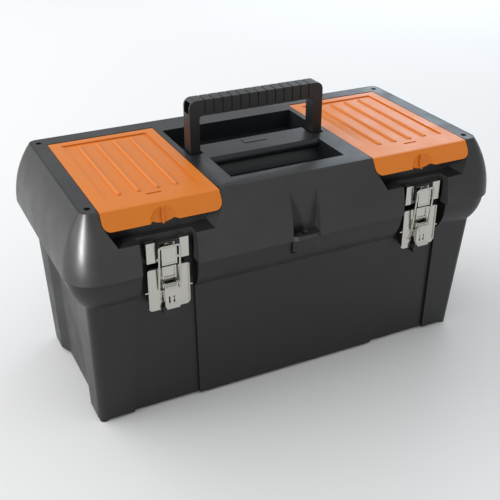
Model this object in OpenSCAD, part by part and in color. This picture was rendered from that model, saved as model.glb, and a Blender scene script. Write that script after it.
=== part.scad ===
// Toolbox with a lift-out tray, two lidded organizers in its lid,
// a folding carry handle and two draw latches.
// Origin: centre of the footprint on the floor. X along the length, -Y is the front, +Z up.

/* [Overall size] */
// Length of the lid at its lower edge
box_l = 489; // [410:1:600]
// Depth of the lid at its lower edge
box_d = 246; // [205:1:300]
// Height of the tub's rim above the floor
rim_z = 182; // [150:1:220]
// Height of the lid, from the rim to its flat top
lid_h = 64.5; // [56:0.5:80]
// Thickness of the moulded outer walls
wall = 3; // [2.4:0.1:3.6]

/* [Lid] */
// How far the lid's flat top lies in from its lower edge
lid_inset = 21; // [15:0.5:23]
// Plan radius of the lid's lower corners
lid_corner_r = 30; // [26:1:36]
// Thickness of the deck that closes the top of the lid
deck_t = 5; // [5:0.5:7]
// Gap between parts that only lie beside each other
gap = 0.4; // [0.3:0.05:0.8]

/* [Organizers] */
// Width of an organizer cover
cover_w = 119; // [100:1:124]
// Strip of deck outside a cover
cover_margin = 17; // [15:1:24]
// Thickness of a cover
cover_t = 2.7; // [2.4:0.1:3]
// Height of a cover's front flap
flap_h = 17; // [13:1:18]
// Depth of the organizer bins under the deck
bin_depth = 35; // [29:1:36]
// Wall of the bins and of the wells in the deck
bin_wall = 2.2; // [1.8:0.1:2.8]

/* [Tub] */
// How far the tub's foot lies in from the lid's lower edge
tub_inset = 31; // [26:1:34]
// How far the wall under the band lies in from the lid's lower edge
waist_inset = 18; // [15:0.1:20]
// Height of the band under the rim
band_h = 33.5; // [28:0.5:36]
// How far the rim lies in from the lid's lower edge
rim_inset = 3; // [2.5:0.5:4]
// Depth of the latch channels in the front and back walls
channel_d = 3; // [2:0.5:3.6]
// Depth of the panels in the end walls
end_panel_d = 6.5; // [5:0.5:8]
// Height of the feet
foot_h = 3; // [2:0.5:4]
// Radius of the feet
foot_r = 5; // [4:0.5:7]

/* [Handle] */
// Height of the raised handle above the deck
handle_rise = 57; // [46:1:60]
// Depth of the handle, front to back
handle_t = 17; // [14:0.5:18]
// Width of the handle's posts
post_w = 11; // [9:0.5:13]
// Radius of the handle's hinge pins
handle_pin_r = 2.4; // [2:0.1:3]

/* [Tray] */
// Height of the tray's walls
tray_h = 48; // [40:1:52]
// Thickness of the tray's walls
tray_wall = 2; // [1.6:0.1:2.6]
// Height of the tray's grip above its walls
grip_rise = 26; // [20:1:28]

/* [Latches] */
// Width of a latch's base plate
plate_w = 43; // [38:1:48]
// Height of a latch's base plate
plate_h = 46; // [43:0.5:49]
// Thickness of the sheet metal
sheet_t = 1.2; // [1:0.1:1.4]
// Diameter of the wire bail
wire_d = 2.3; // [2:0.1:2.6]
// Distance between the bail's two rods
bail_w = 21.2; // [20:0.2:23]
// Radius of a lever's pin
lever_pin_r = 1.25; // [1:0.05:1.4]

/* [Fasteners and pins] */
// Radius of the steel hinge pins
hinge_pin_r = 2; // [1.6:0.1:2.4]
// Radial clearance of a pin that turns in its hole
running = 0.05; // [0.02:0.01:0.1]
// Radius of the padlock eye
eye_r = 4; // [3:0.5:4.5]

/* [Hidden] */
$fn = 48;
eps = 0.01;
seated = 0.02;              // radial clearance of a pin that is fixed in its hole
far = 400;                  // longer than anything that it cuts

// Colours
black = [0.17, 0.17, 0.17];
charcoal = [0.22, 0.23, 0.24];
orange = [0.87, 0.45, 0.15];
steel = [0.78, 0.77, 0.74];

// Plan sizes: half lengths and half depths
hl = box_l / 2;
hd = box_d / 2;
top_z = rim_z + lid_h;
top_hl = hl - lid_inset;
top_hd = hd - lid_inset;
top_r = lid_corner_r - lid_inset;
foot_hl = hl - tub_inset + 9;        // the ends lean less than the front
foot_hd = hd - tub_inset;
waist_hl = hl - waist_inset;
waist_hd = hd - waist_inset;
tub_r = 8;
band_z = rim_z - band_h;
floor_t = wall;
front_lean = atan((waist_hd - foot_hd) / (band_z - foot_h));
end_lean = atan((waist_hl - foot_hl) / (band_z - foot_h));

// The lid's side and the band are arcs that start upright at the rim
lid_arc_r = (lid_h * lid_h + lid_inset * lid_inset) / (2 * lid_inset);
band_in = waist_inset - rim_inset - 1.2;
band_arc_r = (band_h * band_h + band_in * band_in) / (2 * band_in);
function arc_in(r, rise) = r - sqrt(r * r - rise * rise);
function lid_in(z) = arc_in(lid_arc_r, max(z - rim_z, 0));
function band_in_at(z) = rim_inset + arc_in(band_arc_r, rim_z - z);

// The lid's flange, deck and openings
deck_z = top_z - deck_t;             // underside of the deck
flange_z = deck_z - 0.2;             // top of the flange that carries it
flange_t = 2.8;
flange_in = 12;                      // width of the flange from the top's edge
rim_lip = 1.6;                       // the shell's edge that shows around the deck
lid_z = rim_z + 0.3;                 // lower edge of the lid
seat_z = top_z - cover_t - 0.5;      // floor of the covers' seats

// Organizers
cover_x = top_hl - cover_margin - cover_w / 2;
cover_side_gap = 0.6;
cover_hinge_y = top_hd - 21;
cover_hinge_z = seat_z + gap + cover_t / 2;
panel_drop = 1;                    // depth of a cover's sunk panel
rib_rise = 1.9;                      // ribs above the panel's floor
rib_pitch = 19.3;
cover_pin_r = 1;
cover_pin_l = 3;
flap_r = 8;                          // lower corners of a flap
flap_bulge = 4;                      // the flap's middle reaches this much lower
scoop_r = 16;
recess_z = rim_z + 32;               // floor of the recess under a flap
recess_hw = 48.5;                      // half width of that floor
recess_in = 6;                       // back wall of the recess, from the top's edge
recess_back = top_hd - recess_in;
recess_knee = top_z - 11;            // above it the recess is as wide as its cover
bin_hw = cover_w / 2 - 6.5;
bin_front = -(top_hd - 15);
bin_back = cover_hinge_y - 5;
bin_z = top_z - deck_t - bin_depth;  // underside of the bins

// Handle, in the middle of the deck between the covers
zone_hw = cover_x - cover_w / 2;     // half width of the deck between the covers
handle_hw = zone_hw - 9;
handle_y = -2.5;
pivot_z = top_z - 11;
handle_top = top_z + handle_rise;
well_hw = handle_hw + 2;
well_z = pivot_z - handle_t / 2 - 1.5;
well_back = handle_y + (handle_top - pivot_z) + 2.5;
well_front = handle_y - handle_t / 2 - 2.5;
shelf_back = handle_y + handle_t / 2 + 3;
shelf_hw = handle_hw - post_w - 2.5;
pocket_hw = shelf_hw;                // finger pocket in front of the handle
pocket_back = -26;
pocket_front = -(top_hd - 18);
pocket_depth = 20;
roll_r = 5;                          // the rounded edge over the pocket's back wall
grip_h = 17;
groove_pitch = 10.2;
groove_w = 1;
groove_d = 1.1;

// Latches
latch_x = cover_x;
latch_y = hd - 11;                   // back of the plates
channel_hw = 28.5;                   // half width at the rim
channel_spread = 9;                  // extra half width at the foot
lid_channel_y = hd - 18.5;
plate_top = rim_z - 1;
plate_y = latch_y + sheet_t;         // front of the plates
keeper_z = rim_z + 7;
keeper_h = 20;
keeper_w = plate_w;
catch_hw = 7.8;                      // the raised middle of the keeper
catch_out = 5.2;
catch_z = rim_z + 4;
catch_h = 20;
lever_out = 3.9;                     // from the plate to the lever's pin
lever_r = 3;                         // from the pin to the lever's face
lever_z = rim_z - 18;
lever_hw = 6.8;
lever_reach = 24;
lever_lip = 7.4;                     // from the pin to the lip's tip
ear_hw = lever_hw + 1.8;
bail_drop = [2, -7];                 // the bail's hinge, inward and up from the lever's pin
bar_z = catch_z + catch_h + 0.5;
bar_y = plate_y + catch_out + gap + wire_d / 2;
bail_y = plate_y + lever_out - bail_drop[0];
bail_z = lever_z + bail_drop[1];
bail_lean = atan((bar_y - bail_y) / (bar_z - bail_z));
bail_l = norm([bar_y - bail_y, bar_z - bail_z]);
bumper_r = 8.4;
bumper_z = plate_top - plate_h - 0.6;
bumper_y = plate_y + lever_out + lever_r - sheet_t - 0.5; // its front, behind the lever's tip
rivet_r = 1.6;
rivet_head_r = 2.8;

// Rear hinge
knuckle_r = 4;
front_y = max(hd + 2.5, plate_y + lever_out + lever_lip); // the foremost point
hinge_y = front_y - knuckle_r;       // the depth stays centred
hinge_z = rim_z + 4.5;
hinge_x = hl * 0.62;
knuckle_l = 16;
knuckle_gap = 0.5;
bracket_hw = (knuckle_l - knuckle_gap) / 2;

// Padlock eye in the middle of the front
hasp_hw = 15.5;
hasp_y = hd - 11;
hasp_t = 5;
eye_y = hd - 5;
hasp_front = front_y;
hasp_drop = 17;

// Tray
ledge_z = rim_z - 23;                // ledge inside the tub
tray_top = rim_z - 5;
tray_z = tray_top - tray_h;
tray_hl = foot_hl + (tray_z - foot_h) * tan(end_lean) - end_panel_d - wall - 1.5;
tray_hd = min(latch_floor(tray_z), latch_floor(rim_z)) - wall - 1.5;
tray_r = 8;
tray_ear_hl = hl - band_in_at(ledge_z) - wall - 2;
tray_ear_hd = 70;
tray_split = 110;
function latch_floor(z) = foot_hd + (z - foot_h) * tan(front_lean) - channel_d;

// ---- shared shapes -------------------------------------------------------

// A closed form through rounded rectangles, each [half length, half depth, radius, z]
module loft(rings, n = 8) {
    m = 4 * (n + 1);
    top = m * (len(rings) - 1);
    points = [for (g = rings, k = [0:3], i = [0:n])
        let (a = 90 * (k + i / n), sx = (k == 0 || k == 3) ? 1 : -1, sy = k < 2 ? 1 : -1)
        [sx * (g[0] - g[2]) + g[2] * cos(a), sy * (g[1] - g[2]) + g[2] * sin(a), g[3]]];
    polyhedron(points, concat(
        [[for (i = [0:m - 1]) i]],
        [[for (i = [m - 1:-1:0]) top + i]],
        [for (j = [0:len(rings) - 2], i = [0:m - 1])
            [j * m + i, (j + 1) * m + i, (j + 1) * m + (i + 1) % m]],
        [for (j = [0:len(rings) - 2], i = [0:m - 1])
            [j * m + i, (j + 1) * m + (i + 1) % m, j * m + (i + 1) % m]]));
}

// A rounded rectangle, centred
module plan(half_l, half_d, r) {
    square([2 * half_l, 2 * (half_d - r)], center = true);
    square([2 * (half_l - r), 2 * half_d], center = true);
    for (x = [-1, 1], y = [-1, 1]) translate([x * (half_l - r), y * (half_d - r)]) circle(r);
}

// A box from its two corners
module block(low, high) {
    translate(low) cube([high[0] - low[0], high[1] - low[1], high[2] - low[2]]);
}

// A cylinder along X, centred on x
module rod_x(r, x, y, z, length) {
    translate([x - length / 2, y, z]) rotate([0, 90, 0]) cylinder(r = r, h = length);
}

// A cylinder along Y that starts at y and runs towards the front
module rod_front(r, x, y, z, length) {
    translate([x, y, z]) rotate([90, 0, 0]) cylinder(r = r, h = length);
}

// A profile in Y and Z, extruded along X
module along_x(x0, x1) {
    translate([x0, 0, 0]) rotate([90, 0, 90]) linear_extrude(height = x1 - x0) children();
}

// A profile in X and Z, extruded from y0 forwards to y1
module along_y(y0, y1) {
    translate([0, y0, 0]) rotate([90, 0, 0]) linear_extrude(height = y0 - y1) children();
}

// ---- tub -----------------------------------------------------------------

// The slanted channel that a latch lies in; grow thickens it into the wall behind it
module channel(x, grow, top) {
    rise = (top - foot_h) / cos(front_lean);
    full = (rim_z - foot_h) / cos(front_lean);
    low = 10;
    function half(s) = channel_hw + channel_spread * (1 - s / full) + grow;
    translate([x, -foot_hd, foot_h]) rotate([90 + front_lean, 0, 0])
        translate([0, 0, -channel_d - grow]) linear_extrude(height = 60)
            polygon([[-half(-low), -low], [half(-low), -low], [half(rise), rise], [-half(rise), rise]]);
}

// The sunk panel of an end wall, side is -1 or 1
module end_panel(side, grow, top) {
    run = 14;
    half = foot_hd - 48 + grow;
    rise = (top - foot_h) / cos(end_lean);
    translate([side * foot_hl, 0, foot_h]) rotate([0, side * end_lean, 0]) mirror([side < 0 ? 1 : 0, 0, 0])
        translate([-end_panel_d - grow, 0, -10]) linear_extrude(height = rise + 10)
            polygon([[0, -half], [end_panel_d + grow, -half - run], [60, -half - run],
                [60, half + run], [end_panel_d + grow, half + run], [0, half]]);
}

module tub_outside() {
    steps = 6;
    loft([[foot_hl, foot_hd, tub_r, foot_h], [waist_hl, waist_hd, tub_r, band_z + 1]]);
    loft([for (i = [0:steps]) let (z = band_z + band_h * i / steps, in = band_in_at(z))
        [hl - in, hd - in, lid_corner_r - in, z]]);
}

module tub_inside() {
    steps = 4;
    lower = (ledge_z - foot_h) / (band_z - foot_h);
    difference() {
        union() {
            difference() {
                loft([[foot_hl - wall, foot_hd - wall, tub_r - wall, foot_h + floor_t],
                    [foot_hl + (waist_hl - foot_hl) * lower - wall,
                        foot_hd + (waist_hd - foot_hd) * lower - wall, tub_r - wall, ledge_z + eps]]);
                for (side = [-1, 1]) end_panel(side, wall, far);
                rotate([0, 0, 180]) for (x = [-latch_x, latch_x]) channel(x, wall, rim_z);
            }
            loft([for (i = [0:steps]) let (z = ledge_z + (rim_z + 1 - ledge_z) * i / steps,
                in = band_in_at(min(z, rim_z)) + wall) [hl - in, hd - in, lid_corner_r - in, z]]);
        }
        for (x = [-latch_x, latch_x]) channel(x, wall, rim_z + 20);
        hasp_recess(wall);
    }
}

// The step in the tub's front behind the lower tab of the padlock eye
module hasp_recess(grow) {
    block([-hasp_hw - grow, -hd - 20, rim_z - hasp_drop - grow],
        [hasp_hw + grow, -hasp_y + grow, rim_z + 5]);
}

// A latch's pad and the bumper behind the tip of its lever
module latch_pad(x) {
    low = plate_top - plate_h + 3;
    back = -latch_floor(rim_z) + 2;
    block([x - plate_w / 2 + 3, -latch_y, low], [x + plate_w / 2 - 3, back, rim_z]);
    rod_front(bumper_r, x, back, bumper_z, bumper_y + back);
    block([x - bumper_r, -latch_y, bumper_z], [x + bumper_r, back, bumper_z + bumper_r]);
}

// A tab of the padlock eye with chamfered corners
module hasp_tab(half, thick) {
    cut = 5;
    linear_extrude(height = thick) polygon([[-half, -hasp_y + 1], [-half, -hd + 1],
        [-half + cut, -hasp_front], [half - cut, -hasp_front], [half, -hd + 1], [half, -hasp_y + 1]]);
}

// The knuckles of one hinge: part 0 takes the outer two, part 1 the middle one
module knuckles(x, part, r, trim) {
    for (k = part == 0 ? [-1, 1] : [0])
        rod_x(r, x + k * knuckle_l, hinge_y, hinge_z, knuckle_l - trim);
}

module base_tub() {
    web = 4;
    color(black) difference() {
        union() {
            difference() {
                tub_outside();
                tub_inside();
                for (x = [-latch_x, latch_x]) channel(x, 0, rim_z + 20);
                rotate([0, 0, 180]) for (x = [-latch_x, latch_x]) channel(x, 0, band_z - 3);
                for (side = [-1, 1]) end_panel(side, 0, band_z - 3);
                hasp_recess(0);
            }
            for (x = [-latch_x, latch_x]) latch_pad(x);
            for (x = [-1, 1], y = [-1, 1])
                translate([x * (foot_hl - foot_r - 1), y * (foot_hd - foot_r - 1), 0])
                    cylinder(r = foot_r, h = foot_h + 1);
            // hinge knuckles on brackets that rise behind the rim
            for (x = [-hinge_x, hinge_x]) {
                knuckles(x, 0, knuckle_r, knuckle_gap);
                for (k = [-1, 1]) block(
                    [x + k * knuckle_l - bracket_hw, hd - band_in_at(rim_z - 14) - 2, rim_z - 16],
                    [x + k * knuckle_l + bracket_hw, hinge_y + knuckle_r - 1.6, hinge_z]);
            }
            // lower tab of the padlock eye, with a skirt and a gusset at each side
            translate([0, 0, rim_z - hasp_t]) hasp_tab(hasp_hw, hasp_t);
            translate([0, 0, rim_z - hasp_drop + 5]) difference() {
                hasp_tab(hasp_hw, hasp_drop - 5);
                block([-hasp_hw + web, -eye_y - eye_r - 0.5, -1],
                    [hasp_hw - web, 0, hasp_drop - 5 - hasp_t]);
            }
            for (x = [-1, 1]) translate([x * (hasp_hw - web / 2) - web / 2, 0, 0]) along_x(0, web)
                polygon([[-hd + 2, rim_z - 1], [-hd + 2, rim_z - hasp_drop + 5],
                    [-hasp_y - 3, rim_z - hasp_drop - 1], [-hasp_y + 1, rim_z - hasp_drop - 1],
                    [-hasp_y + 1, rim_z - 1]]);
        }
        translate([0, -eye_y, rim_z - 12]) cylinder(r = eye_r, h = 13);
        for (x = [-hinge_x, hinge_x]) rod_x(hinge_pin_r + seated, x, hinge_y, hinge_z, 4 * knuckle_l);
        // room for the middle knuckle
        for (x = [-hinge_x, hinge_x]) rod_x(knuckle_r + gap, x, hinge_y, hinge_z, knuckle_l);
        for (x = [-latch_x, latch_x], z = base_rivet_z())
            rod_front(rivet_r + running, x, -latch_y + 6, z, 10);
    }
}
function base_rivet_z() = [lever_z - 5, lever_z - 13];
function keeper_rivet_z() = [keeper_z + 5, keeper_z + keeper_h - 5];

// ---- lid -----------------------------------------------------------------

module lid_outside() {
    steps = 9;
    loft([for (i = [0:steps]) let (z = lid_z + (top_z - lid_z) * i / steps, in = lid_in(z))
        [hl - in, hd - in, lid_corner_r - in, z]], 10);
}

module lid_inside() {
    steps = 7;
    high = flange_z - flange_t;
    loft([for (i = [-1:steps])
        let (z = i < 0 ? lid_z - 1 : lid_z + (high - lid_z) * i / steps, in = lid_in(z) + wall)
        [hl - in, hd - in, lid_corner_r - in, z]], 10);
}

// The recess under a cover's flap; grow gives the wall behind it
module flap_recess(x, grow) {
    high = top_z + 2;
    half = cover_w / 2 + 0.8 + grow;
    translate([x, 0, 0]) along_y(-recess_back + grow, -hd - 20)
        polygon([[-recess_hw - grow, recess_z - grow], [recess_hw + grow, recess_z - grow],
            [half, recess_knee], [half, high], [-half, high], [-half, recess_knee]]);
}

// The channel for a latch's keeper in the lid
module lid_channel(x, grow) {
    block([x - channel_hw - grow, -hd - 20, lid_z - 1],
        [x + channel_hw + grow, -lid_channel_y + grow, recess_z + 1]);
}

module hasp_notch(grow) {
    block([-hasp_hw - grow, -hd - 20, lid_z - 1], [hasp_hw + grow, -hasp_y + grow, top_z - 4]);
}

module lid_shell() {
    color(black) difference() {
        union() {
            difference() {
                lid_outside();
                difference() {
                    lid_inside();
                    for (x = [-cover_x, cover_x]) flap_recess(x, wall);
                    for (x = [-latch_x, latch_x]) lid_channel(x, wall);
                    hasp_notch(wall);
                }
                translate([0, 0, flange_z - flange_t - 1]) linear_extrude(height = 20)
                    plan(top_hl - flange_in, top_hd - flange_in, top_r);
                translate([0, 0, flange_z]) linear_extrude(height = 20)
                    plan(top_hl - rim_lip, top_hd - rim_lip, top_r - rim_lip);
                for (x = [-cover_x, cover_x]) flap_recess(x, 0);
                for (x = [-latch_x, latch_x]) lid_channel(x, 0);
                hasp_notch(0);
            }
            for (x = [-latch_x, latch_x])
                block([x - keeper_w / 2 + 1, -latch_y, keeper_z],
                    [x + keeper_w / 2 - 1, -lid_channel_y + 1, keeper_z + keeper_h - 0.3]);
            translate([0, 0, lid_z]) hasp_tab(hasp_hw + 0.5, hasp_t);
            for (p = screw_places()) translate([p[0], p[1], flange_z - 13]) cylinder(r = 4, h = 13);
            for (x = [-hinge_x, hinge_x]) {
                knuckles(x, 1, knuckle_r, knuckle_gap);
                block([x - bracket_hw, hd - wall, lid_z], [x + bracket_hw, hinge_y, hinge_z + 3]);
            }
        }
        // room for the tub's knuckles
        for (x = [-hinge_x, hinge_x], k = [-1, 1]) {
            rod_x(knuckle_r + gap, x + k * knuckle_l, hinge_y, hinge_z, knuckle_l + 0.2);
            block([x + k * knuckle_l - knuckle_l / 2 - 0.1, hd - band_in_at(rim_z - 14) - 3, rim_z - 1],
                [x + k * knuckle_l + knuckle_l / 2 + 0.1, hinge_y + 10, hinge_z + gap]);
        }
        for (x = [-hinge_x, hinge_x]) rod_x(hinge_pin_r + running, x, hinge_y, hinge_z, 2 * knuckle_l);
        translate([0, -eye_y, lid_z - 1]) cylinder(r = eye_r, h = hasp_t + 2);
        for (p = screw_places()) translate([p[0], p[1], flange_z - 12]) cylinder(r = 1.55, h = 20);
        for (x = [-latch_x, latch_x], z = keeper_rivet_z())
            rod_front(rivet_r + running, x, -latch_y + 6, z, 10);
    }
}
function screw_places() = [for (x = [-1, 1], y = [-1, 1]) [x * (top_hl - 9.5), y * (top_hd - 12)]];

// The finger pocket's profile, sunk from the deck, thicker by grow
module pocket_profile(grow) {
    r = 12;
    floor_y = pocket_back - r;
    floor_z = top_z - pocket_depth;
    rim = top_z + (grow > 0 ? 0 : 1);
    polygon(concat([[pocket_front - 2.4 * grow, rim], [floor_y - 10, floor_z + 2 - grow]],
        [for (a = [-80:20:0]) [floor_y + (r + grow) * cos(a), floor_z + r + (r + grow) * sin(a)]],
        [[pocket_back + grow, rim]]));
}

// The handle's well: the deep part and the two slots for the posts
module handle_well(grow, low, high) {
    block([-well_hw - grow, shelf_back - grow, low], [well_hw + grow, well_back + grow, high]);
    for (s = [0, 1]) mirror([s, 0, 0])
        block([shelf_hw - grow, well_front - grow, low], [well_hw + grow, shelf_back + 1, high]);
}

module organizer_bins(x) {
    row_y = [bin_front + (bin_back - bin_front) / 3, bin_front + (bin_back - bin_front) * 2 / 3];
    rib = 1.8;
    rib_top = deck_z - 1;
    translate([x, 0, 0]) {
        difference() {
            block([-bin_hw - bin_wall, bin_front - bin_wall, bin_z],
                [bin_hw + bin_wall, bin_back + bin_wall, deck_z + 1]);
            block([-bin_hw, bin_front, bin_z + bin_wall], [bin_hw, bin_back, top_z]);
        }
        block([-rib / 2, bin_front - 1, bin_z + 1], [rib / 2, bin_back + 1, rib_top]);
        for (y = row_y)
            block([-bin_hw - 1, y - rib / 2, bin_z + 1], [bin_hw + 1, y + rib / 2, rib_top]);
    }
}

module lid_deck() {
    edge = rim_lip + 0.3;
    cover_half = cover_w / 2 + cover_side_gap;
    color(charcoal) difference() {
        union() {
            difference() {
                union() {
                    translate([0, 0, deck_z]) linear_extrude(height = deck_t)
                        plan(top_hl - edge, top_hd - edge, top_r - edge);
                    handle_well(bin_wall, well_z - bin_wall, deck_z + 1);
                    along_x(-pocket_hw - bin_wall, pocket_hw + bin_wall) pocket_profile(bin_wall);
                    for (s = [0, 1]) mirror([s, 0, 0])
                        block([well_hw, handle_y - 7, pivot_z - 7],
                            [well_hw + 6.4, handle_y + 7, deck_z + 1]);
                }
                handle_well(0, well_z, top_z + 1);
                along_x(-pocket_hw, pocket_hw) pocket_profile(0);
                for (x = [-cover_x, cover_x]) {
                    block([x - cover_half, -hd, seat_z],
                        [x + cover_half, cover_hinge_y + cover_t / 2 + 0.75, top_z + 1]);
                    block([x - cover_half - 1, -hd, deck_z - 1],
                        [x + cover_half + 1, -recess_back + 0.3, top_z + 1]);
                    block([x - bin_hw, bin_front, deck_z - 1], [x + bin_hw, bin_back, top_z + 1]);
                }
            }
            rod_x(roll_r, 0, pocket_back, top_z - roll_r, 2 * pocket_hw + 1);
            for (x = [-cover_x, cover_x]) organizer_bins(x);
            block([-13.5, handle_y - 3.5, top_z - 1], [13.5, handle_y + 7.5, top_z + 0.5]);
        }
        for (x = [-1, 1]) {
            rod_x(handle_pin_r + seated, x * (well_hw + 1), handle_y, pivot_z, 10);
            rod_x(cover_pin_r + running, x * cover_x, cover_hinge_y, cover_hinge_z,
                cover_w + 2 * cover_pin_l + 0.8);
        }
        for (p = screw_places()) translate([p[0], p[1], 0]) {
            translate([0, 0, deck_z - 1]) cylinder(r = 1.8, h = 20);
            translate([0, 0, top_z - 3]) cylinder(r = 3.2, h = 20);
        }
    }
}

module deck_screws() {
    head_z = top_z - 3;
    color(black) for (p = screw_places()) translate([p[0], p[1], 0]) difference() {
        union() {
            translate([0, 0, flange_z - 10]) cylinder(r = 1.5, h = head_z + 1 - flange_z + 10);
            translate([0, 0, head_z + eps]) cylinder(r = 3, h = 1.8);
        }
        for (a = [0, 90]) rotate([0, 0, a]) block([-1.9, -0.45, head_z + 0.7], [1.9, 0.45, top_z + 1]);
    }
}

module rear_hinge_pins() {
    color(steel) for (x = [-hinge_x, hinge_x]) rod_x(hinge_pin_r, x, hinge_y, hinge_z, 3 * knuckle_l - 1);
}

// ---- organizer covers ----------------------------------------------------

// Plate and flap of a cover in Y and Z: the flap follows the lid's front and stands a little proud
module flap_profile(flap) {
    z0 = cover_hinge_z - cover_t / 2;
    z1 = cover_hinge_z + cover_t / 2;
    proud = 0.6;
    low = top_z - flap - flap_bulge;
    steps = 6;
    brow = 2.5;                      // rounding of the front edge
    function front(z) = -(hd - lid_in(z)) - proud;
    function between(a, b, i) = a + (b - a) * i / steps;
    polygon(concat([[cover_hinge_y, z0], [cover_hinge_y, z1], [front(z1 - brow) + 3.2, z1],
            [front(z1 - brow) + 1, z1 - 0.7]],
        [for (i = [0:steps]) let (z = between(z1 - brow, low, i)) [front(z), z]],
        [for (i = [steps:-1:0]) let (z = between(z0 - 1.5, low, i)) [front(z) + cover_t, z]],
        [[front(z0) + 5.5, z0]]));
    translate([cover_hinge_y, cover_hinge_z]) circle(cover_t / 2);
}

// The outline that trims the flap: round lower corners and a bulge for the thumb
module flap_outline() {
    low = top_z - flap_h;
    half = cover_w / 2;
    translate([-half, low + flap_r]) square([cover_w, flap_h]);
    translate([-half + flap_r, low]) square([cover_w - 2 * flap_r, flap_h]);
    for (s = [-1, 1]) translate([s * (half - flap_r), low + flap_r]) circle(flap_r);
    translate([0, low + scoop_r - flap_bulge]) circle(scoop_r);
}

// A bar with round ends in X and Y from one point to another, z is its lower face
module round_bar(from, to, r, z, h) {
    run = norm(to - from);
    translate([from[0], from[1], z]) rotate([0, 0, atan2(to[1] - from[1], to[0] - from[0])]) {
        translate([0, -r, 0]) cube([run, 2 * r, h]);
        cylinder(r = r, h = h);
        translate([run, 0, 0]) cylinder(r = r, h = h);
    }
}

// The thumb's scoop: a dish cut into the flap that leaves a rib in its middle
module scoop() {
    dish_r = 17;
    dish_out = 10.5;                 // from the flap's front to the dish's centre
    dish_z = top_z - 12.5;
    rib_h = 2.2;
    translate([0, -(hd - lid_in(dish_z)) - dish_out, dish_z]) difference() {
        sphere(dish_r);
        difference() {
            cube([1.8, 3 * dish_r, 3 * dish_r], center = true);
            sphere(dish_r - rib_h);
        }
    }
}

module organizer_cover(x) {
    half = cover_w / 2;
    z1 = cover_hinge_z + cover_t / 2;
    floor_z = z1 - panel_drop;
    front = -(top_hd - 27);
    back = cover_hinge_y - 11;
    left = -half + 13.5;
    right = half - 13;
    middle = (left + right) / 2 - 1.5;
    groove_r = 1.7;
    rib_r = 2.4;
    translate([x, 0, 0]) {
        difference() {
            intersection() {
                along_x(-half, half) flap_profile(flap_h);
                along_y(hd, -hd - 20) flap_outline();
            }
            block([left, front, floor_z], [right, back, z1 + 5]);
            // groove along the panel's back and right edges, and a dimple in front of the panel
            round_bar([left, back], [right, back], groove_r, floor_z - 0.5, 5);
            round_bar([right, back], [right, front], groove_r, floor_z - 0.5, 5);
            round_bar([-6, front - 8], [7, front - 8], 1.5, z1 - 0.9, 5);
            scoop();
        }
        // the wall behind the scoop
        difference() {
            intersection() {
                along_y(0, -hd - 20) flap_outline();
                along_x(-scoop_r, scoop_r) scoop_profile();
            }
            scoop();
        }
        // ribs with round ends, and the hinge stubs
        for (i = [-1.5:1:1.5]) intersection() {
            translate([middle + i * rib_pitch, 0, floor_z + rib_rise - rib_r]) {
                translate([0, front + 4, 0]) rotate([-90, 0, 0]) cylinder(r = rib_r, h = back - front - 12);
                for (y = [front + 4, back - 8]) translate([0, y, 0]) sphere(rib_r);
            }
            block([-half, -hd, floor_z - 0.3], [half, hd, z1 + 5]);
        }
        for (s = [-1, 1])
            rod_x(cover_pin_r, s * (half + cover_pin_l / 2 - 0.5), cover_hinge_y, cover_hinge_z,
            cover_pin_l + 1);
    }
}

// The wall behind the scoop in Y and Z
module scoop_profile() {
    z0 = cover_hinge_z - cover_t / 2;
    low = top_z - flap_h - flap_bulge;
    polygon([[-(recess_back + 1.2), z0 + 1], [-(hd - lid_in(top_z - 4)) + 2, z0 + 1],
        [-(hd - lid_in(low)) + 2, low], [-(hd - lid_in(low)) + 9, low],
        [-(recess_back + 1.2), low + 8]]);
}

module organizer_cover_left() { color(orange) organizer_cover(-cover_x); }
module organizer_cover_right() { color(orange) organizer_cover(cover_x); }

// ---- carry handle --------------------------------------------------------

module carry_handle() {
    corner = 8;
    inner_r = 3;
    grip_low = handle_top - grip_h;
    grip_half = handle_hw - post_w - 2;
    grooves = floor(grip_half / groove_pitch);
    y0 = handle_y + handle_t / 2;
    color(black) difference() {
        union() {
            along_y(y0, y0 - handle_t) difference() {
                union() {
                    translate([-handle_hw, pivot_z]) square([2 * handle_hw, handle_top - pivot_z - corner]);
                    translate([-handle_hw + corner, pivot_z])
                        square([2 * (handle_hw - corner), handle_top - pivot_z]);
                    for (s = [-1, 1])
                        translate([s * (handle_hw - corner), handle_top - corner]) circle(corner);
                }
                translate([-handle_hw + post_w, 0]) square([2 * (handle_hw - post_w), grip_low - inner_r]);
                translate([-handle_hw + post_w + inner_r, 0])
                    square([2 * (handle_hw - post_w - inner_r), grip_low]);
                for (s = [-1, 1])
                    translate([s * (handle_hw - post_w - inner_r), grip_low - inner_r]) circle(inner_r);
            }
            for (s = [-1, 1]) rod_x(handle_t / 2, s * (handle_hw - post_w / 2), handle_y, pivot_z, post_w);
        }
        for (i = [-grooves:grooves]) difference() {
            translate([i * groove_pitch - groove_w / 2, y0 - handle_t - 1, grip_low - 1])
                cube([groove_w, handle_t + 2, grip_h + 2]);
            translate([i * groove_pitch - groove_w, y0 - handle_t + groove_d, grip_low + groove_d])
                cube([2 * groove_w, handle_t - 2 * groove_d, grip_h - 2 * groove_d]);
        }
        for (s = [-1, 1]) {
            rod_x(handle_pin_r + running, s * handle_hw, handle_y, pivot_z, post_w * 1.6);
            translate([s * handle_hw, handle_y, grip_low + grip_h / 2])
                cube([12, handle_t - 5, grip_h - 5], center = true);
        }
    }
}

module handle_pins() {
    color(steel) for (s = [-1, 1]) rod_x(handle_pin_r, s * (well_hw + 0.2), handle_y, pivot_z, 11.5);
}

// ---- tray ----------------------------------------------------------------

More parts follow.
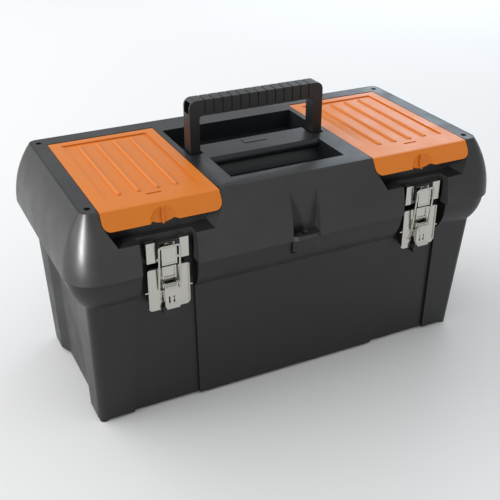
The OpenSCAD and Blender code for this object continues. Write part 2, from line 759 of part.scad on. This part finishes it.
module tool_tray() {
    rib = tray_wall;
    grip_hw = 62;
    grip_t = 12;
    slot_hw = 44;
    slot_r = 8.5;
    ear_t = 2.6;
    color(charcoal) difference() {
        union() {
            difference() {
                translate([0, 0, tray_z]) linear_extrude(height = tray_h) plan(tray_hl, tray_hd, tray_r);
                difference() {
                    translate([0, 0, tray_z + tray_wall]) linear_extrude(height = tray_h)
                        plan(tray_hl - tray_wall, tray_hd - tray_wall, tray_r - tray_wall);
                    for (s = [0, 1]) mirror([s, 0, 0]) {
                        block([tray_split - rib / 2, -hd, tray_z],
                            [tray_split + rib / 2, hd, tray_top - 3]);
                        block([tray_split, -rib / 2, tray_z], [hl, rib / 2, tray_top - 8]);
                    }
                    block([-tray_split, -grip_t / 2, tray_z], [tray_split, grip_t / 2, tray_top]);
                }
            }
            for (s = [0, 1]) mirror([s, 0, 0]) block([tray_hl - 1, -tray_ear_hd, ledge_z + gap],
                [tray_ear_hl + 1, tray_ear_hd, ledge_z + gap + ear_t]);
            along_y(grip_t / 2, -grip_t / 2) polygon([[-grip_hw, tray_top - 1], [grip_hw, tray_top - 1],
                [grip_hw - 10, tray_top + grip_rise], [-grip_hw + 10, tray_top + grip_rise]]);
        }
        // the grip's finger slot
        along_y(grip_t, -grip_t) translate([0, tray_top + grip_rise - 8 - slot_r]) {
            square([2 * (slot_hw - slot_r), 2 * slot_r], center = true);
            for (s = [-1, 1]) translate([s * (slot_hw - slot_r), 0]) circle(slot_r);
        }
    }
}

// ---- latches, each drawn about X = 0 -------------------------------------

// The lever's ears and the pin that joins them lie at this point
module at_lever_pin() { translate([0, -plate_y - lever_out, lever_z]) children(); }

module latch_base() {
    low = plate_top - plate_h;
    r = 4;
    ear_r = 3.2;
    bridge_hw = 7;
    bridge_out = 3.2;
    bridge_z = [lever_z + 6.3, plate_top + 2.5];
    color(steel) difference() {
        union() {
            along_y(-latch_y, -plate_y) {
                translate([-plate_w / 2, low + r]) square([plate_w, plate_h - r]);
                translate([-plate_w / 2 + r, low]) square([plate_w - 2 * r, plate_h]);
                for (s = [-1, 1]) translate([s * (plate_w / 2 - r), low + r]) circle(r);
            }
            // turned edges at both sides, and a small tang on each
            for (s = [-1, 1]) mirror([s < 0 ? 1 : 0, 0, 0]) {
                block([plate_w / 2 - 1.2, -plate_y - 1.2, low + r], [plate_w / 2, -latch_y, plate_top]);
                block([plate_w / 2 - 0.5, -plate_y - 0.4, lever_z - 8],
                    [plate_w / 2 + 3, -plate_y + 1, lever_z - 6.6]);
                // ear for the lever's pin
                at_lever_pin() rod_x(ear_r, ear_hw - sheet_t / 2, 0, 0, sheet_t);
                block([ear_hw - sheet_t, -plate_y - lever_out, lever_z - ear_r],
                    [ear_hw, -plate_y + 0.5, lever_z + ear_r]);
            }
            // pressed bridge above the lever
            difference() {
                block([-bridge_hw, -plate_y - bridge_out, bridge_z[0]], [bridge_hw, -latch_y, bridge_z[1]]);
                block([-bridge_hw + 1.3, -plate_y - bridge_out - 1, bridge_z[0] + 1.3],
                    [bridge_hw - 1.3, -plate_y - bridge_out + 1.4, bridge_z[1] - 1.3]);
                block([-bridge_hw - 1, -plate_y - bridge_out + 2.4, bridge_z[0] - 1],
                    [bridge_hw + 1, -plate_y, bridge_z[1] - 1.3]);
            }
        }
        // room for the bumper
        block([-bumper_r - gap, -hd, low - 1], [bumper_r + gap, 0, bumper_z + bumper_r + gap]);
        at_lever_pin() rod_x(lever_pin_r + seated, 0, 0, 0, plate_w - 2);
        for (z = base_rivet_z()) rod_front(rivet_r + running, 0, 0, z, hd);
    }
}

module latch_keeper() {
    tab_in = bail_w / 2 + wire_d / 2 + 0.7;
    keeper_top = keeper_z + keeper_h;
    color(steel) difference() {
        union() {
            block([-keeper_w / 2, -plate_y, keeper_z], [keeper_w / 2, -latch_y, keeper_top]);
            // raised side tabs with turned-back tops
            for (s = [-1, 1]) mirror([s < 0 ? 1 : 0, 0, 0]) {
                block([tab_in, -plate_y - 1.4, keeper_z], [keeper_w / 2, -latch_y, keeper_top + 1.4]);
                block([tab_in, -plate_y - 1.4, keeper_top + 0.2],
                    [keeper_w / 2, -latch_y + 3, keeper_top + 1.4]);
            }
            // the catch stands proud of the plate and is joined to it at its foot
            block([-catch_hw, -plate_y - catch_out, catch_z],
                [catch_hw, -plate_y - catch_out + sheet_t, catch_z + catch_h]);
            block([-catch_hw, -plate_y - catch_out, keeper_z], [catch_hw, -latch_y, keeper_z + sheet_t]);
        }
        // slots beside the catch, open at the top
        for (s = [-1, 1]) mirror([s < 0 ? 1 : 0, 0, 0])
            block([catch_hw + 0.4, -hd, keeper_z + 3], [tab_in - 0.2, 0, top_z]);
        block([-tab_in + 0.2, -plate_y - 0.2, keeper_top - 2], [tab_in - 0.2, 0, top_z]);
        // a shallow panel pressed into the catch's face
        block([-catch_hw + 1.5, -hd, catch_z + 1.8],
            [catch_hw - 1.5, -plate_y - catch_out + 0.4, catch_z + catch_h - 1.8]);
        for (z = keeper_rivet_z()) rod_front(rivet_r + running, 0, 0, z, plate_y + 1);
    }
}

// Side of a lever in Y and Z about its pin
module lever_side() {
    tip = lever_z - bumper_z - bumper_r - 0.4;
    circle(lever_r);
    polygon([[-lever_r, 0], [-lever_r, -tip], [0, -tip], [3.4, -11], [3.4, -6], [lever_r, 0]]);
}

module latch_lever() {
    t = sheet_t;
    tab_hw = 5.8;
    color(steel) difference() {
        at_lever_pin() {
            for (s = [-1, 1]) mirror([s < 0 ? 1 : 0, 0, 0]) along_x(lever_hw - t, lever_hw) lever_side();
            block([-lever_hw, -lever_r, -lever_reach + 1], [lever_hw, -lever_r + t, 1]);
            // lip at the tip
            along_x(-lever_hw, lever_hw) polygon([
                [-lever_r, -lever_reach + 3.5], [-lever_lip, -lever_reach + 0.6],
                [-lever_lip + 0.6, -lever_reach], [-lever_r + t, -lever_reach + 1.5]]);
            // tab on the face, rolled at its top
            along_x(-tab_hw + 1.2, tab_hw - 1.2) translate([-lever_r - 0.9, -1.7]) circle(1.1);
            along_y(-lever_r + 0.1, -lever_r - 1.2) {
                polygon([[-tab_hw, -0.5], [tab_hw, -0.5], [tab_hw, -3], [2, -9], [-2, -9], [-tab_hw, -3]]);
                translate([0, -8.5]) circle(2.06);
            }
        }
        at_lever_pin() {
            rod_x(lever_pin_r + running, 0, 0, 0, plate_w);
            rod_x(wire_d / 2 + running, 0, bail_drop[0], bail_drop[1], plate_w);
            for (x = [-2.4, 2.4])
                block([x - 0.8, -lever_r - 3, -lever_reach + 4.5], [x + 0.8, -lever_r + 3, -12]);
        }
    }
}

// A bent wire: two rods, a bar across the top and two stubs that hook into the lever
module latch_bail() {
    r = wire_d / 2;
    bend = 3;
    foot = 2;
    half = bail_w / 2;
    stub = lever_hw - sheet_t - 0.7;
    color(steel) translate([0, -bail_y, bail_z]) rotate([bail_lean, 0, 0]) {
        rod_x(r, 0, 0, bail_l, 2 * (half - bend));
        for (s = [0, 1]) mirror([s, 0, 0]) {
            translate([half, 0, foot]) cylinder(r = r, h = bail_l - bend - foot);
            translate([half - bend, 0, bail_l - bend]) rotate([90, 0, 0])
                rotate_extrude(angle = 90) translate([bend, 0]) circle(r);
            translate([half - foot, 0, foot]) rotate([90, 0, 0])
                rotate_extrude(angle = -90) translate([foot, 0]) circle(r);
            rod_x(r, (stub + half - foot) / 2, 0, 0, half - foot - stub);
        }
    }
}

module latch_base_left() { translate([-latch_x, 0, 0]) latch_base(); }
module latch_base_right() { translate([latch_x, 0, 0]) latch_base(); }
module latch_keeper_left() { translate([-latch_x, 0, 0]) latch_keeper(); }
module latch_keeper_right() { translate([latch_x, 0, 0]) latch_keeper(); }
module latch_lever_left() { translate([-latch_x, 0, 0]) latch_lever(); }
module latch_lever_right() { translate([latch_x, 0, 0]) latch_lever(); }
module latch_bail_left() { translate([-latch_x, 0, 0]) latch_bail(); }
module latch_bail_right() { translate([latch_x, 0, 0]) latch_bail(); }

module lever_pins() {
    color(steel) for (x = [-latch_x, latch_x]) translate([x, 0, 0])
        at_lever_pin() rod_x(lever_pin_r, 0, 0, 0, 2 * ear_hw + 0.4);
}

// Rivets with a low head in front of the sheet
module rivets(heights) {
    color(steel) for (x = [-latch_x, latch_x], z = heights) {
        rod_front(rivet_r, x, -latch_y + 5, z, plate_y - latch_y + 5.5);
        rod_front(rivet_head_r, x, -plate_y - eps, z, 1);
    }
}

module base_rivets() { rivets(base_rivet_z()); }
module keeper_rivets() { rivets(keeper_rivet_z()); }

base_tub();
lid_shell();
lid_deck();
deck_screws();
rear_hinge_pins();
organizer_cover_left();
organizer_cover_right();
carry_handle();
handle_pins();
tool_tray();
latch_base_left();
latch_base_right();
latch_lever_left();
latch_lever_right();
latch_bail_left();
latch_bail_right();
latch_keeper_left();
latch_keeper_right();
lever_pins();
base_rivets();
keeper_rivets();
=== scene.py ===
import math

import bmesh
import bpy
from bpy.props import FloatProperty, FloatVectorProperty, PointerProperty
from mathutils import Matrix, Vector


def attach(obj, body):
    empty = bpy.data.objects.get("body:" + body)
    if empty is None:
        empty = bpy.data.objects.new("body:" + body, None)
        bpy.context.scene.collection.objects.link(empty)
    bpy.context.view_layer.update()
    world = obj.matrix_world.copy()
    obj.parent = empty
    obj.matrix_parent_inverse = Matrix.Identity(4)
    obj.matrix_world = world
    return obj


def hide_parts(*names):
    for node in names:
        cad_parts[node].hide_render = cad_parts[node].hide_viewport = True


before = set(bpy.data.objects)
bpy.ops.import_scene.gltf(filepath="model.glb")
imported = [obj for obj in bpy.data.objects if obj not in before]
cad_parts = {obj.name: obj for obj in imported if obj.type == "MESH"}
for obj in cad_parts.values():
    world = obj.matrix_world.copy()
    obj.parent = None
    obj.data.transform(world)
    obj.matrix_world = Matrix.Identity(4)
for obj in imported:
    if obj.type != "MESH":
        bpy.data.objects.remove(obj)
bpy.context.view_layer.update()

bl_info = {
    "name": "Toolbox with Tray",
    "version": (1, 0, 0),
    "blender": (4, 5, 0),
    "location": "View3D > Sidebar > Toolbox",
    "description": "Finishes a moulded toolbox with organizer lids, draw latches and a lift-out tray",
    "category": "Object",
}

MM = 0.001
SIDES = ("left", "right")


# ---- sizes and colours that a user would change ---------------------------

def length(name, description, default_mm):
    """A length property, given in millimetres and kept in metres."""
    return FloatProperty(
        name=name, description=description, default=default_mm * MM, min=0.0, subtype="DISTANCE",
        unit="LENGTH")


def colour(name, description, rgb):
    """A linear colour property without alpha."""
    return FloatVectorProperty(
        name=name, description=description, default=rgb, size=3, min=0.0, max=1.0, subtype="COLOR")


def share(name, description, default):
    """A number from 0 to 1."""
    return FloatProperty(
        name=name, description=description, default=default, min=0.0, max=1.0, subtype="FACTOR")


def point(name, description, default):
    """A point in metres."""
    return FloatVectorProperty(name=name, description=description, default=default, size=3, subtype="XYZ")


class MouldingSettings(bpy.types.PropertyGroup):
    """Black mouldings: tub, lid, deck, handle and tray."""
    black: colour("Black", "Colour of the tub, the lid and the handle", (0.007, 0.007, 0.007))
    deck: colour("Deck", "Colour of the deck and the tray", (0.009, 0.011, 0.012))
    roughness: share("Roughness", "Roughness of the black mouldings", 0.42)
    edge: length("Edge radius", "Rounding of the large mouldings' edges", 0.9)
    fine_edge: length("Fine edge radius", "Rounding of small moulded edges", 0.5)


class CoverSettings(bpy.types.PropertyGroup):
    """Organizer covers."""
    orange: colour("Orange", "Colour of the organizer covers", (0.7, 0.19, 0.012))
    roughness: share("Roughness", "Roughness of the covers", 0.38)
    edge: length("Edge radius", "Rounding of a cover's edges", 0.7)


class MetalSettings(bpy.types.PropertyGroup):
    """Latches, pins, rivets and screws."""
    nickel: colour("Nickel", "Colour of the plated latches", (0.55, 0.54, 0.5))
    drawn: colour("Drawn steel", "Colour of the pins", (0.5, 0.5, 0.49))
    roughness: share("Roughness", "Roughness of the plating", 0.16)
    edge: length("Edge radius", "Rounding of the sheet metal's edges", 0.25)


class StageSettings(bpy.types.PropertyGroup):
    """Floor, lights and camera."""
    floor: colour("Floor", "Colour of the floor", (0.88, 0.88, 0.88))
    floor_size: length("Floor size", "Side of the square floor", 14000)
    lens_mm: FloatProperty(name="Lens", description="Focal length in millimetres", default=62.0, min=20.0)
    eye: point("Camera", "Place of the camera", (-0.39084, -0.79201, 0.58937))
    aim: point("Aim", "Point that the camera looks at", (0.02876, 0.06787, 0.06875))


# ---- shader node groups ---------------------------------------------------

def new_group(name, inputs, outputs):
    """A shader node group with float inputs and outputs; returns the tree, its input and its output node."""
    tree = bpy.data.node_groups.new(name, "ShaderNodeTree")
    for label, default in inputs:
        socket = tree.interface.new_socket(label, in_out="INPUT", socket_type="NodeSocketFloat")
        socket.default_value = default
    for label in outputs:
        tree.interface.new_socket(label, in_out="OUTPUT", socket_type="NodeSocketFloat")
    return tree, tree.nodes.new("NodeGroupInput"), tree.nodes.new("NodeGroupOutput")


def noise(tree, coordinates, scale, detail=3.0, distortion=0.0):
    """A noise texture on object coordinates. scale is in features per metre."""
    node = tree.nodes.new("ShaderNodeTexNoise")
    node.inputs["Scale"].default_value = scale
    node.inputs["Detail"].default_value = detail
    node.inputs["Distortion"].default_value = distortion
    tree.links.new(coordinates, node.inputs["Vector"])
    return node


def mapped(tree, value, low, high, from_low=0.0, from_high=1.0):
    """A value moved from one range to another."""
    node = tree.nodes.new("ShaderNodeMapRange")
    node.inputs["From Min"].default_value = from_low
    node.inputs["From Max"].default_value = from_high
    node.inputs["To Min"].default_value = low
    node.inputs["To Max"].default_value = high
    tree.links.new(value, node.inputs["Value"])
    return node.outputs["Result"]


def combine(tree, operation, first, second):
    """A Math node of two sockets or numbers."""
    node = tree.nodes.new("ShaderNodeMath")
    node.operation = operation
    for socket, value in zip(node.inputs, (first, second)):
        if isinstance(value, (int, float)):
            socket.default_value = value
        else:
            tree.links.new(value, socket)
    return node.outputs["Value"]


def moulded_group():
    """Moulded plastic: a fine spark-eroded grain, soft sink marks, and a cloudy sheen."""
    tree, entry, leave = new_group(
        "Moulded skin", [("Grain size", 0.0007), ("Grain depth", 0.5), ("Sink depth", 0.5)],
        ["Height", "Cloud", "Scuff"])
    place = tree.nodes.new("ShaderNodeTexCoord").outputs["Object"]
    grain_scale = combine(tree, "DIVIDE", 1.0, entry.outputs["Grain size"])
    grain = noise(tree, place, 1.0, 2.0)
    tree.links.new(grain_scale, grain.inputs["Scale"])
    sink = noise(tree, place, 9.0, 1.0)
    cloud = noise(tree, place, 26.0, 4.0, 0.4)
    scuff = noise(tree, place, 160.0, 5.0, 1.2)
    grain_height = combine(tree, "MULTIPLY", grain.outputs["Fac"], entry.outputs["Grain depth"])
    sink_height = combine(tree, "MULTIPLY", sink.outputs["Fac"], entry.outputs["Sink depth"])
    height = combine(tree, "ADD", grain_height, sink_height)
    tree.links.new(height, leave.inputs["Height"])
    tree.links.new(cloud.outputs["Fac"], leave.inputs["Cloud"])
    tree.links.new(mapped(tree, scuff.outputs["Fac"], 0.0, 1.0, 0.62, 0.74), leave.inputs["Scuff"])
    return tree


def plated_group():
    """Bright plating: shallow roll waves, fine rub lines and small dull specks."""
    tree, entry, leave = new_group(
        "Plated skin", [("Wave size", 0.012), ("Line size", 0.0004)], ["Height", "Rub", "Speck"])
    place = tree.nodes.new("ShaderNodeTexCoord").outputs["Object"]
    wave_scale = combine(tree, "DIVIDE", 1.0, entry.outputs["Wave size"])
    wave = noise(tree, place, 1.0, 2.0, 0.3)
    tree.links.new(wave_scale, wave.inputs["Scale"])
    stretch = tree.nodes.new("ShaderNodeMapping")
    stretch.inputs["Scale"].default_value = (1.0, 1.0, 0.06)
    tree.links.new(place, stretch.inputs["Vector"])
    line_scale = combine(tree, "DIVIDE", 1.0, entry.outputs["Line size"])
    line = noise(tree, stretch.outputs["Vector"], 1.0, 3.0)
    tree.links.new(line_scale, line.inputs["Scale"])
    speck = noise(tree, place, 900.0, 2.0)
    height = combine(tree, "ADD", wave.outputs["Fac"], combine(tree, "MULTIPLY", line.outputs["Fac"], 0.05))
    tree.links.new(height, leave.inputs["Height"])
    tree.links.new(line.outputs["Fac"], leave.inputs["Rub"])
    tree.links.new(mapped(tree, speck.outputs["Fac"], 0.0, 1.0, 0.62, 0.72), leave.inputs["Speck"])
    return tree


def grouped(tree, group, **values):
    """A group node in a material, with its inputs set by name."""
    node = tree.nodes.new("ShaderNodeGroup")
    node.node_tree = group
    for label, value in values.items():
        node.inputs[label.replace("_", " ").capitalize()].default_value = value
    return node


def tinted(tree, mask, first, second):
    """A colour that goes from first to second with a mask."""
    node = tree.nodes.new("ShaderNodeMix")
    node.data_type = "RGBA"
    node.inputs["A"].default_value = (*first, 1.0)
    node.inputs["B"].default_value = (*second, 1.0)
    tree.links.new(mask, node.inputs["Factor"])
    return node.outputs["Result"]


def bumped(tree, height, strength, distance):
    """A Bump node on a height."""
    node = tree.nodes.new("ShaderNodeBump")
    node.inputs["Strength"].default_value = strength
    node.inputs["Distance"].default_value = distance
    tree.links.new(height, node.inputs["Height"])
    return node.outputs["Normal"]


def new_material(name):
    """An empty node material; returns it, its tree and its Principled shader."""
    material = bpy.data.materials.new(name)
    material.use_nodes = True
    return material, material.node_tree, material.node_tree.nodes["Principled BSDF"]


def plastic(name, rgb, roughness, grain_size=0.0007, grain=1.0, lighter=1.5, shine=0.5):
    """Moulded plastic with a fine grain."""
    material, tree, shader = new_material(name)
    skin = grouped(tree, GROUPS["moulded"], grain_size=grain_size, grain_depth=1.0, sink_depth=2.0)
    worn = tuple(min(1.0, c * lighter) for c in rgb)
    tree.links.new(tinted(tree, skin.outputs["Cloud"], rgb, worn), shader.inputs["Base Color"])
    sheen = mapped(tree, skin.outputs["Cloud"], roughness - 0.05, roughness + 0.07, 0.3, 0.7)
    rough = combine(tree, "ADD", sheen, combine(tree, "MULTIPLY", skin.outputs["Scuff"], 0.06))
    tree.links.new(rough, shader.inputs["Roughness"])
    tree.links.new(bumped(tree, skin.outputs["Height"], 0.35 * grain, 0.00006), shader.inputs["Normal"])
    shader.inputs["Specular IOR Level"].default_value = shine
    return material


def metal(name, rgb, roughness, wave=1.0):
    """Plated or drawn steel."""
    material, tree, shader = new_material(name)
    skin = grouped(tree, GROUPS["plated"])
    dull = tuple(c * 0.72 for c in rgb)
    tree.links.new(tinted(tree, skin.outputs["Speck"], rgb, dull), shader.inputs["Base Color"])
    rough = mapped(tree, skin.outputs["Rub"], roughness - 0.06, roughness + 0.1, 0.3, 0.7)
    tree.links.new(rough, shader.inputs["Roughness"])
    tree.links.new(bumped(tree, skin.outputs["Height"], 0.3 * wave, 0.0006), shader.inputs["Normal"])
    shader.inputs["Metallic"].default_value = 1.0
    return material


GROUPS = {}
MATERIALS = {}


def make_materials(scene):
    """Builds the shared groups and every material once."""
    if MATERIALS:
        return
    GROUPS["moulded"] = moulded_group()
    GROUPS["plated"] = plated_group()
    moulding, cover, steel = scene.toolbox_mouldings, scene.toolbox_covers, scene.toolbox_metal
    black, rough = tuple(moulding.black), moulding.roughness
    MATERIALS["tub_plastic"] = plastic("tub plastic", black, rough)
    MATERIALS["lid_plastic"] = plastic("lid plastic", black, rough - 0.06, shine=0.38)
    MATERIALS["deck_plastic"] = plastic("deck plastic", tuple(moulding.deck), rough - 0.04, shine=0.42)
    MATERIALS["handle_plastic"] = plastic("handle plastic", black, rough - 0.02, grain=1.3)
    MATERIALS["tray_plastic"] = plastic("tray plastic", tuple(moulding.deck), rough + 0.03)
    MATERIALS["cover_plastic"] = plastic(
        "cover plastic", tuple(cover.orange), cover.roughness, 0.0009, 0.6, 1.12, shine=0.35)
    MATERIALS["latch_steel"] = metal("latch nickel", tuple(steel.nickel), steel.roughness)
    MATERIALS["wire_steel"] = metal("wire nickel", tuple(steel.nickel), steel.roughness - 0.04, 0.3)
    MATERIALS["pin_steel"] = metal("pin steel", tuple(steel.drawn), steel.roughness + 0.1, 0.3)
    MATERIALS["screw_black"] = metal("black screw", (0.02, 0.02, 0.02), 0.4, 0.3)


# ---- shapes ---------------------------------------------------------------

SHARP = math.radians(28.0)  # an edge that bends more than this is rounded
FLAT = math.radians(0.3)  # faces that bend less than this are one face
MERGE = 0.003 * MM  # corners closer than this are one corner
RUNS_ON = -0.86  # cosine below which an edge goes on into the next one
WIDTHS_PER_ROOM = 2.4  # room that a rounding of full width needs, in widths


def room_beside(edge):
    """The width that a rounding of an edge may take before it meets another corner."""
    room = []
    for vert in edge.verts:
        run = (edge.other_vert(vert).co - vert.co).normalized()
        goes_on = False
        for other in vert.link_edges:
            if other is edge:
                continue
            away = (other.other_vert(vert).co - vert.co).normalized()
            if run.dot(away) < RUNS_ON:
                goes_on = True
            else:
                room.append(other.calc_length())
        if not goes_on:
            room.append(edge.calc_length())
    return min(room, default=edge.calc_length())


def merged_copy(node, name, width):
    """A copy of a CAD node's mesh with its flat faces made whole and its sharp edges given a weight."""
    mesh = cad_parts[node].data.copy()
    mesh.name = name
    shape = bmesh.new()
    shape.from_mesh(mesh)
    bmesh.ops.remove_doubles(shape, verts=shape.verts, dist=MERGE)
    bmesh.ops.dissolve_degenerate(shape, dist=MERGE, edges=shape.edges)
    bmesh.ops.dissolve_limit(
        shape, angle_limit=FLAT, use_dissolve_boundaries=False, verts=shape.verts, edges=shape.edges,
        delimit=set())
    weight = shape.edges.layers.float.new("bevel_weight_edge")
    for edge in shape.edges:
        if edge.is_manifold and edge.calc_face_angle(0.0) > SHARP:
            edge[weight] = min(1.0, room_beside(edge) / (WIDTHS_PER_ROOM * width))
    for face in shape.faces:
        face.smooth = True
    shape.to_mesh(mesh)
    shape.free()
    return mesh


def add_bevel(piece, width):
    """Rounds the piece's weighted edges and lets the large faces lead the shading."""
    bevel = piece.modifiers.new("Edges", "BEVEL")
    bevel.width = width
    bevel.segments = 2
    bevel.limit_method = "WEIGHT"
    bevel.use_clamp_overlap = True
    bevel.miter_outer = "MITER_ARC"
    normals = piece.modifiers.new("Shading", "WEIGHTED_NORMAL")
    normals.keep_sharp = True


def finished_copy(node, name, body, material, edge):
    """A CAD node's own shape with rounded edges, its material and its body."""
    piece = bpy.data.objects.new(name, merged_copy(node, name, edge))
    bpy.context.scene.collection.objects.link(piece)
    add_bevel(piece, edge)
    piece.data.materials.clear()
    piece.data.materials.append(MATERIALS[material])
    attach(piece, body)
    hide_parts(node)


# ---- operators ------------------------------------------------------------

class TOOLBOX_OT_mouldings(bpy.types.Operator):
    """Tub, lid shell, deck and tray"""
    bl_idname = "toolbox.mouldings"
    bl_label = "Tub, lid and tray"

    def execute(self, context):
        make_materials(context.scene)
        edge = context.scene.toolbox_mouldings.edge
        fine = context.scene.toolbox_mouldings.fine_edge
        finished_copy("base_tub", "tub_moulding", "base", "tub_plastic", edge)
        finished_copy("lid_shell", "lid_moulding", "lid", "lid_plastic", edge)
        finished_copy("lid_deck", "deck_moulding", "lid", "deck_plastic", fine)
        finished_copy("tool_tray", "tray_moulding", "tray", "tray_plastic", fine)
        return {"FINISHED"}


class TOOLBOX_OT_covers(bpy.types.Operator):
    """Organizer covers"""
    bl_idname = "toolbox.covers"
    bl_label = "Organizer covers"

    def execute(self, context):
        make_materials(context.scene)
        edge = context.scene.toolbox_covers.edge
        for side in SIDES:
            finished_copy(
                f"organizer_cover_{side}", f"cover_{side}_moulding", f"cover_{side}",
                "cover_plastic", edge)
        return {"FINISHED"}


class TOOLBOX_OT_handle(bpy.types.Operator):
    """Carry handle"""
    bl_idname = "toolbox.handle"
    bl_label = "Carry handle"

    def execute(self, context):
        make_materials(context.scene)
        edge = context.scene.toolbox_mouldings.edge
        finished_copy(
            "carry_handle", "handle_moulding", "handle", "handle_plastic", edge)
        return {"FINISHED"}


class TOOLBOX_OT_latches(bpy.types.Operator):
    """Base plates, keepers, levers and wire bails of both latches"""
    bl_idname = "toolbox.latches"
    bl_label = "Latches"

    def execute(self, context):
        make_materials(context.scene)
        edge = context.scene.toolbox_metal.edge
        for side in SIDES:
            for node, name, body, material in (
                    (f"latch_base_{side}", f"base_plate_{side}", "base", "latch_steel"),
                    (f"latch_keeper_{side}", f"keeper_plate_{side}", "lid", "latch_steel"),
                    (f"latch_lever_{side}", f"lever_{side}_pressing", f"lever_{side}", "latch_steel"),
                    (f"latch_bail_{side}", f"bail_{side}_wire", f"bail_{side}", "wire_steel")):
                finished_copy(node, name, body, material, edge)
        return {"FINISHED"}


class TOOLBOX_OT_fasteners(bpy.types.Operator):
    """Pins, rivets and screws"""
    bl_idname = "toolbox.fasteners"
    bl_label = "Pins, rivets and screws"

    def execute(self, context):
        make_materials(context.scene)
        edge = context.scene.toolbox_metal.edge
        for node, body, material in (
                ("deck_screws", "lid", "screw_black"),
                ("rear_hinge_pins", "base", "pin_steel"),
                ("handle_pins", "lid", "pin_steel"),
                ("lever_pins", "base", "pin_steel"),
                ("base_rivets", "base", "latch_steel"),
                ("keeper_rivets", "lid", "latch_steel")):
            finished_copy(node, f"{node}_finished", body, material, edge)
        return {"FINISHED"}


def area_light(name, place, aim, size, power, tint=(1.0, 1.0, 1.0)):
    """A rectangular soft light."""
    data = bpy.data.lights.new(name, "AREA")
    data.shape = "RECTANGLE"
    data.size, data.size_y = size
    data.energy = power
    data.color = tint
    lamp = bpy.data.objects.new(name, data)
    lamp.location = place
    lamp.rotation_euler = (Vector(aim) - Vector(place)).to_track_quat("-Z", "Y").to_euler()
    bpy.context.scene.collection.objects.link(lamp)
    return lamp


class TOOLBOX_OT_stage(bpy.types.Operator):
    """Floor, soft lights and camera"""
    bl_idname = "toolbox.stage"
    bl_label = "Stage"

    def execute(self, context):
        settings = context.scene.toolbox_stage
        shape = bmesh.new()
        bmesh.ops.create_grid(shape, x_segments=1, y_segments=1, size=settings.floor_size / 2)
        mesh = bpy.data.meshes.new("floor")
        shape.to_mesh(mesh)
        shape.free()
        floor = bpy.data.objects.new("floor", mesh)
        context.scene.collection.objects.link(floor)
        material, _, shader = new_material("floor paint")
        shader.inputs["Base Color"].default_value = (*settings.floor, 1.0)
        shader.inputs["Roughness"].default_value = 0.9
        shader.inputs["Specular IOR Level"].default_value = 0.1
        mesh.materials.append(material)

        world = bpy.data.worlds.new("studio")
        world.use_nodes = True
        backdrop = world.node_tree.nodes["Background"]
        backdrop.inputs["Color"].default_value = (0.98, 0.99, 1.0, 1.0)
        backdrop.inputs["Strength"].default_value = 0.73
        context.scene.world = world
        context.scene.view_settings.view_transform = "Standard"

        area_light("far left", (-1.7, 2.6, 2.6), (-1.1, 1.9, 0.0), (2.8, 3.0), 40.0)
        area_light("left", (-2.0, 0.3, 0.9), (0.0, 0.0, 0.15), (1.4, 1.4), 16.0)
        # a narrow light for the streak on the lid's corner, which lights the lid alone
        strip = area_light("corner strip", (-1.45, -0.95, 0.68), (-0.22, -0.1, 0.22), (0.12, 1.2), 105.0)
        lit = bpy.data.collections.new("lit by the strip")
        lit.objects.link(bpy.data.objects["lid_moulding"])
        strip.light_linking.receiver_collection = lit
        area_light("right sheen", (1.75, 1.75, 1.05), (0.15, 0.0, 0.24), (1.0, 0.9), 9.0, (0.72, 0.86, 1.0))

        data = bpy.data.cameras.new("camera")
        data.lens = settings.lens_mm
        data.sensor_width = 36.0
        data.clip_start = 0.01
        data.clip_end = 100.0
        camera = bpy.data.objects.new("camera", data)
        camera.location = settings.eye
        sight = Vector(settings.aim) - Vector(settings.eye)
        camera.rotation_euler = sight.to_track_quat("-Z", "Y").to_euler()
        context.scene.collection.objects.link(camera)
        context.scene.camera = camera
        return {"FINISHED"}


class TOOLBOX_PT_build(bpy.types.Panel):
    """Lists the toolbox's operators"""
    bl_label = "Toolbox"
    bl_idname = "TOOLBOX_PT_build"
    bl_space_type = "VIEW_3D"
    bl_region_type = "UI"
    bl_category = "Toolbox"

    def draw(self, context):
        for operator in OPERATORS:
            self.layout.operator(operator.bl_idname)


OPERATORS = (
    TOOLBOX_OT_mouldings,
    TOOLBOX_OT_covers,
    TOOLBOX_OT_handle,
    TOOLBOX_OT_latches,
    TOOLBOX_OT_fasteners,
    TOOLBOX_OT_stage,
)
SETTINGS = {
    "toolbox_mouldings": MouldingSettings,
    "toolbox_covers": CoverSettings,
    "toolbox_metal": MetalSettings,
    "toolbox_stage": StageSettings,
}


def register():
    """Registers the settings, the operators and the panel."""
    for name, settings in SETTINGS.items():
        bpy.utils.register_class(settings)
        setattr(bpy.types.Scene, name, PointerProperty(type=settings))
    for cls in (*OPERATORS, TOOLBOX_PT_build):
        bpy.utils.register_class(cls)


def unregister():
    """Removes what register added."""
    for cls in (TOOLBOX_PT_build, *reversed(OPERATORS)):
        bpy.utils.unregister_class(cls)
    for name, settings in SETTINGS.items():
        delattr(bpy.types.Scene, name)
        bpy.utils.unregister_class(settings)


def main():
    """Builds the toolbox."""
    register()
    bpy.ops.toolbox.mouldings()
    bpy.ops.toolbox.covers()
    bpy.ops.toolbox.handle()
    bpy.ops.toolbox.latches()
    bpy.ops.toolbox.fasteners()
    bpy.ops.toolbox.stage()
    bpy.context.view_layer.update()


if __name__ == "__main__":
    main()
